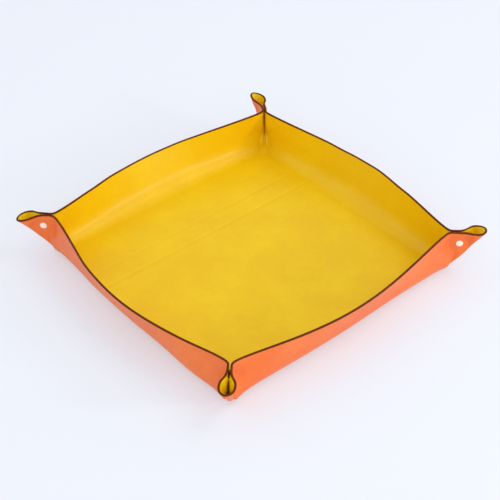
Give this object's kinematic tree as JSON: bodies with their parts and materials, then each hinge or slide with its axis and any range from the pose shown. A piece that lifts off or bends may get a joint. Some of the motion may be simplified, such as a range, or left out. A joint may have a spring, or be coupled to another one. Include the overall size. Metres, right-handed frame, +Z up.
{
  "type": "folding dice tray",
  "caption": "Square soft leather dice tray whose pinched corners are held by press snaps; unsnapped, it folds flat.",
  "frame": {"origin": "centre of the base, on the table", "axes": "+Z up; +X to the right wall and +Y to the back wall, each square to its wall; the picture's camera looks from the front left corner's side"},
  "size_m": [0.467, 0.467, 0.065],
  "materials": {
    "lining_leather": "smooth semi-matt dyed leather",
    "shell_leather": "smooth semi-matt dyed leather",
    "edge_coat": "satin edge paint",
    "snap_cap": "cream enamel",
    "snap_metal": "nickel plated"
  },
  "bodies": {
    "floor": {"floor_lining": "lining_leather", "floor_shell": "shell_leather"},
    "back_wall": {"back_wall_lining": "lining_leather", "back_wall_shell": "shell_leather", "back_wall_edge": "edge_coat"},
    "left_wall": {"left_wall_lining": "lining_leather", "left_wall_shell": "shell_leather", "left_wall_edge": "edge_coat"},
    "front_wall": {"front_wall_lining": "lining_leather", "front_wall_shell": "shell_leather", "front_wall_edge": "edge_coat"},
    "right_wall": {"right_wall_lining": "lining_leather", "right_wall_shell": "shell_leather", "right_wall_edge": "edge_coat"},
    "back_right_ear_back_half": {"back_right_ear_back_half_lining": "lining_leather", "back_right_ear_back_half_shell": "shell_leather", "back_right_ear_back_half_edge": "edge_coat", "back_right_snap_cap": "snap_cap", "back_right_snap_socket": "snap_metal"},
    "back_right_ear_right_half": {"back_right_ear_right_half_lining": "lining_leather", "back_right_ear_right_half_shell": "shell_leather", "back_right_ear_right_half_edge": "edge_coat", "back_right_snap_stud": "snap_metal", "back_right_snap_rivet": "snap_metal"},
    "back_left_ear_left_half": {"back_left_ear_left_half_lining": "lining_leather", "back_left_ear_left_half_shell": "shell_leather", "back_left_ear_left_half_edge": "edge_coat", "back_left_snap_cap": "snap_cap", "back_left_snap_socket": "snap_metal"},
    "back_left_ear_back_half": {"back_left_ear_back_half_lining": "lining_leather", "back_left_ear_back_half_shell": "shell_leather", "back_left_ear_back_half_edge": "edge_coat", "back_left_snap_stud": "snap_metal", "back_left_snap_rivet": "snap_metal"},
    "front_left_ear_front_half": {"front_left_ear_front_half_lining": "lining_leather", "front_left_ear_front_half_shell": "shell_leather", "front_left_ear_front_half_edge": "edge_coat", "front_left_snap_stud": "snap_metal", "front_left_snap_rivet": "snap_metal"},
    "front_left_ear_left_half": {"front_left_ear_left_half_lining": "lining_leather", "front_left_ear_left_half_shell": "shell_leather", "front_left_ear_left_half_edge": "edge_coat", "front_left_snap_cap": "snap_cap", "front_left_snap_socket": "snap_metal"},
    "front_right_ear_right_half": {"front_right_ear_right_half_lining": "lining_leather", "front_right_ear_right_half_shell": "shell_leather", "front_right_ear_right_half_edge": "edge_coat", "front_right_snap_stud": "snap_metal", "front_right_snap_rivet": "snap_metal"},
    "front_right_ear_front_half": {"front_right_ear_front_half_lining": "lining_leather", "front_right_ear_front_half_shell": "shell_leather", "front_right_ear_front_half_edge": "edge_coat", "front_right_snap_cap": "snap_cap", "front_right_snap_socket": "snap_metal"}
  },
  "joints": [
    {"name": "left_wall_fold", "type": "hinge", "parent": "floor", "child": "left_wall", "pos_m": [-0.208, 0, 0.005], "axis": [0, -1, 0], "range_deg": [0, 74]},
    {"name": "back_wall_fold", "type": "hinge", "parent": "floor", "child": "back_wall", "pos_m": [0, 0.208, 0.005], "axis": [-1, 0, 0], "range_deg": [0, 74]},
    {"name": "front_wall_fold", "type": "hinge", "parent": "floor", "child": "front_wall", "pos_m": [0, -0.208, 0.005], "axis": [1, 0, 0], "range_deg": [0, 74]},
    {"name": "right_wall_fold", "type": "hinge", "parent": "floor", "child": "right_wall", "pos_m": [0.208, 0, 0.005], "axis": [0, 1, 0], "range_deg": [0, 74]},
    {"name": "back_right_ear_back_half_swing", "type": "hinge", "parent": "back_wall", "child": "back_right_ear_back_half", "pos_m": [0.19015, 0.19362, 0.06374], "axis": [0.027, 0.0734, -0.9969], "range_deg": [0, 44.41]},
    {"name": "back_right_ear_right_half_swing", "type": "hinge", "parent": "right_wall", "child": "back_right_ear_right_half", "pos_m": [0.19362, 0.19015, 0.06374], "axis": [-0.0734, -0.027, 0.9969], "range_deg": [0, 44.41]},
    {"name": "back_left_ear_left_half_swing", "type": "hinge", "parent": "left_wall", "child": "back_left_ear_left_half", "pos_m": [-0.19362, 0.19015, 0.06374], "axis": [-0.0734, 0.027, -0.9969], "range_deg": [0, 44.41]},
    {"name": "back_left_ear_back_half_swing", "type": "hinge", "parent": "back_wall", "child": "back_left_ear_back_half", "pos_m": [-0.19015, 0.19362, 0.06374], "axis": [0.027, -0.0734, 0.9969], "range_deg": [0, 44.41]},
    {"name": "front_left_ear_front_half_swing", "type": "hinge", "parent": "front_wall", "child": "front_left_ear_front_half", "pos_m": [-0.19015, -0.19362, 0.06374], "axis": [-0.027, -0.0734, -0.9969], "range_deg": [0, 44.41]},
    {"name": "front_left_ear_left_half_swing", "type": "hinge", "parent": "left_wall", "child": "front_left_ear_left_half", "pos_m": [-0.19362, -0.19015, 0.06374], "axis": [0.0734, 0.027, 0.9969], "range_deg": [0, 44.41]},
    {"name": "front_right_ear_right_half_swing", "type": "hinge", "parent": "right_wall", "child": "front_right_ear_right_half", "pos_m": [0.19362, -0.19015, 0.06374], "axis": [0.0734, -0.027, -0.9969], "range_deg": [0, 44.41]},
    {"name": "front_right_ear_front_half_swing", "type": "hinge", "parent": "front_wall", "child": "front_right_ear_front_half", "pos_m": [0.19015, -0.19362, 0.06374], "axis": [-0.027, 0.0734, 0.9969], "range_deg": [0, 44.41]}
  ],
  "couplings": [
    {"joint": "back_wall_fold", "follows": "left_wall_fold", "ratio": 1},
    {"joint": "front_wall_fold", "follows": "left_wall_fold", "ratio": 1},
    {"joint": "right_wall_fold", "follows": "left_wall_fold", "ratio": 1},
    {"joint": "back_right_ear_back_half_swing", "follows": "left_wall_fold", "ratio": 0.6},
    {"joint": "back_right_ear_right_half_swing", "follows": "left_wall_fold", "ratio": 0.6},
    {"joint": "back_left_ear_left_half_swing", "follows": "left_wall_fold", "ratio": 0.6},
    {"joint": "back_left_ear_back_half_swing", "follows": "left_wall_fold", "ratio": 0.6},
    {"joint": "front_left_ear_front_half_swing", "follows": "left_wall_fold", "ratio": 0.6},
    {"joint": "front_left_ear_left_half_swing", "follows": "left_wall_fold", "ratio": 0.6},
    {"joint": "front_right_ear_right_half_swing", "follows": "left_wall_fold", "ratio": 0.6},
    {"joint": "front_right_ear_front_half_swing", "follows": "left_wall_fold", "ratio": 0.6}
  ]
}
